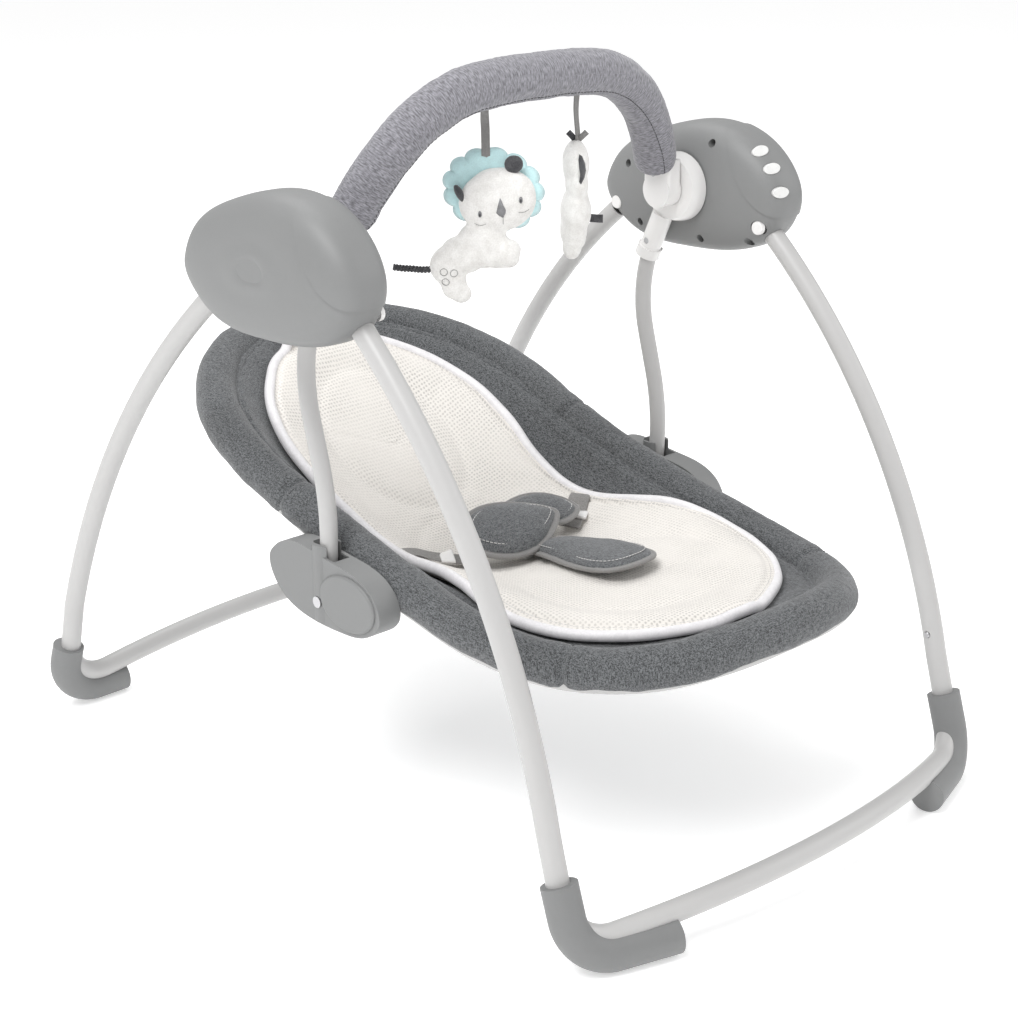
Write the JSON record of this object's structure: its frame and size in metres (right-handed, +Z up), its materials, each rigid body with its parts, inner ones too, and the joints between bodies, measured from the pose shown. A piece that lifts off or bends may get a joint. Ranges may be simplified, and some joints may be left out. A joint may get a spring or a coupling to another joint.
{
  "type": "baby swing",
  "caption": "Freestanding baby swing: a reclining padded seat hangs between side hubs on a tube frame, under a pivoting toy bar with hanging plush toys.",
  "frame": {"origin": "centre of the footprint, on the floor", "axes": "+X from hub to hub towards the control hub, -Y towards the foot end, +Z up"},
  "size_m": [0.6658, 0.8906, 0.7609],
  "materials": {
    "frame_tube": "light grey paint",
    "foot_plastic": "fine matte texture",
    "hub_plastic": "fine matte texture",
    "screw_steel": "zinc plated",
    "button_plastic": "soft gloss",
    "snap_steel": "satin",
    "bearing_plastic": "moulded",
    "hanger_tube": "light grey paint",
    "magnet_part": "satin",
    "coil_copper": "enamelled wire",
    "board_laminate": "solder mask",
    "speaker_plastic": "moulded",
    "bar_tube": "satin",
    "bar_end_plastic": "soft gloss",
    "bar_jersey": "knitted jersey over foam",
    "ribbon_web": "woven tape",
    "plush_white": "short plush",
    "seat_cloth": "heathered weave",
    "pad_cloth": "dimple mesh",
    "harness_cloth": "padded weave",
    "cover_plastic": "fine matte texture"
  },
  "bodies": {
    "stand": {"front_tube_right": "frame_tube", "front_tube_left": "frame_tube", "rear_tube_right": "frame_tube", "rear_tube_left": "frame_tube", "front_floor_tube": "frame_tube", "rear_floor_tube": "frame_tube", "front_foot_right": "foot_plastic", "front_foot_left": "foot_plastic", "rear_foot_right": "foot_plastic", "rear_foot_left": "foot_plastic", "hub_inner_right": "hub_plastic", "hub_outer_right": "hub_plastic", "control_panel": "hub_plastic", "hub_inner_left": "hub_plastic", "hub_outer_left": "hub_plastic", "hub_cap_left": "hub_plastic", "battery_lid": "hub_plastic", "hub_screws": "screw_steel", "axle_bushes": "bearing_plastic", "drive_coil": "coil_copper", "circuit_board": "board_laminate", "loudspeaker": "speaker_plastic", "battery_cells": "magnet_part", "battery_tray": "bearing_plastic"},
    "swing": {"swing_axles": "screw_steel", "dome_right": "button_plastic", "dome_left": "button_plastic", "clamp_screws": "screw_steel", "hangers": "hanger_tube", "drive_magnet_arm": "magnet_part"},
    "seat": {"seat_ring": "hanger_tube", "seat_rim_roll": "seat_cloth", "seat_sling": "seat_cloth", "seat_pad": "pad_cloth", "crotch_tongue": "harness_cloth", "harness_buckle": "button_plastic", "belt_wings": "harness_cloth", "harness_webbing": "harness_cloth", "hinge_cover_inner": "cover_plastic", "hinge_cover_outer": "cover_plastic", "hinge_pins": "screw_steel", "seat_brackets": "cover_plastic"},
    "toy_bar": {"toy_bar_tube": "bar_tube", "toy_bar_ends": "bar_end_plastic", "toy_bar_sleeve": "bar_jersey"},
    "lion": {"toy_lion": "plush_white", "ribbon_lion": "ribbon_web"},
    "cub": {"toy_cub": "plush_white", "ribbon_cub": "ribbon_web"},
    "key_speed_body": {"key_speed": "button_plastic"},
    "key_timer_body": {"key_timer": "button_plastic"},
    "key_music_body": {"key_music": "button_plastic"},
    "release_front_right_body": {"release_front_right": "button_plastic"},
    "snap_front_right_body": {"snap_front_right": "snap_steel"},
    "release_front_left_body": {"release_front_left": "button_plastic"},
    "snap_front_left_body": {"snap_front_left": "snap_steel"},
    "release_rear_right_body": {"release_rear_right": "button_plastic"},
    "snap_rear_right_body": {"snap_rear_right": "snap_steel"},
    "release_rear_left_body": {"release_rear_left": "button_plastic"},
    "snap_rear_left_body": {"snap_rear_left": "snap_steel"}
  },
  "joints": [
    {"name": "swing_pivot", "type": "hinge", "parent": "stand", "child": "swing", "pos_m": [0, 0, 0.59], "axis": [1, 0, 0], "range_deg": [-15, 15]},
    {"name": "seat_recline", "type": "hinge", "parent": "swing", "child": "seat", "pos_m": [0, 0.02, 0.236], "axis": [1, 0, 0], "range_deg": [-12, 0]},
    {"name": "toy_bar_pivot", "type": "hinge", "parent": "swing", "child": "toy_bar", "pos_m": [0, 0, 0.59], "axis": [1, 0, 0], "range_deg": [-60, 75]},
    {"name": "lion_hang", "type": "hinge", "parent": "toy_bar", "child": "lion", "pos_m": [-0.0697, -0.0347, 0.7352], "axis": [1, 0, 0], "range_deg": [-20, 20]},
    {"name": "cub_hang", "type": "hinge", "parent": "toy_bar", "child": "cub", "pos_m": [0.0551, -0.0348, 0.7359], "axis": [1, 0, 0], "range_deg": [-20, 20]},
    {"name": "key_speed_press", "type": "slide", "parent": "stand", "child": "key_speed_body", "axis": [0.4104, 0.8125, -0.414], "range_m": [0, 0.0015], "stiffness_N_per_m": 400, "springref_m": -0.0008},
    {"name": "key_timer_press", "type": "slide", "parent": "stand", "child": "key_timer_body", "axis": [0.4104, 0.8788, -0.2437], "range_m": [0, 0.0015], "stiffness_N_per_m": 400, "springref_m": -0.0008},
    {"name": "key_music_press", "type": "slide", "parent": "stand", "child": "key_music_body", "axis": [0.4104, 0.9107, -0.0477], "range_m": [0, 0.0015], "stiffness_N_per_m": 400, "springref_m": -0.0008},
    {"name": "release_front_right_press", "type": "slide", "parent": "stand", "child": "release_front_right_body", "axis": [1, 0, 0], "range_m": [0, 0.002], "stiffness_N_per_m": 600, "springref_m": -0.001},
    {"name": "snap_front_right_press", "type": "slide", "parent": "stand", "child": "snap_front_right_body", "axis": [1, 0, 0], "range_m": [0, 0.0025], "stiffness_N_per_m": 600, "springref_m": -0.001},
    {"name": "release_front_left_press", "type": "slide", "parent": "stand", "child": "release_front_left_body", "axis": [-1, 0, 0], "range_m": [0, 0.002], "stiffness_N_per_m": 600, "springref_m": -0.001},
    {"name": "snap_front_left_press", "type": "slide", "parent": "stand", "child": "snap_front_left_body", "axis": [-1, 0, 0], "range_m": [0, 0.0025], "stiffness_N_per_m": 600, "springref_m": -0.001},
    {"name": "release_rear_right_press", "type": "slide", "parent": "stand", "child": "release_rear_right_body", "axis": [1, 0, 0], "range_m": [0, 0.002], "stiffness_N_per_m": 600, "springref_m": -0.001},
    {"name": "snap_rear_right_press", "type": "slide", "parent": "stand", "child": "snap_rear_right_body", "axis": [1, 0, 0], "range_m": [0, 0.0025], "stiffness_N_per_m": 600, "springref_m": -0.001},
    {"name": "release_rear_left_press", "type": "slide", "parent": "stand", "child": "release_rear_left_body", "axis": [-1, 0, 0], "range_m": [0, 0.002], "stiffness_N_per_m": 600, "springref_m": -0.001},
    {"name": "snap_rear_left_press", "type": "slide", "parent": "stand", "child": "snap_rear_left_body", "axis": [-1, 0, 0], "range_m": [0, 0.0025], "stiffness_N_per_m": 600, "springref_m": -0.001}
  ]
}
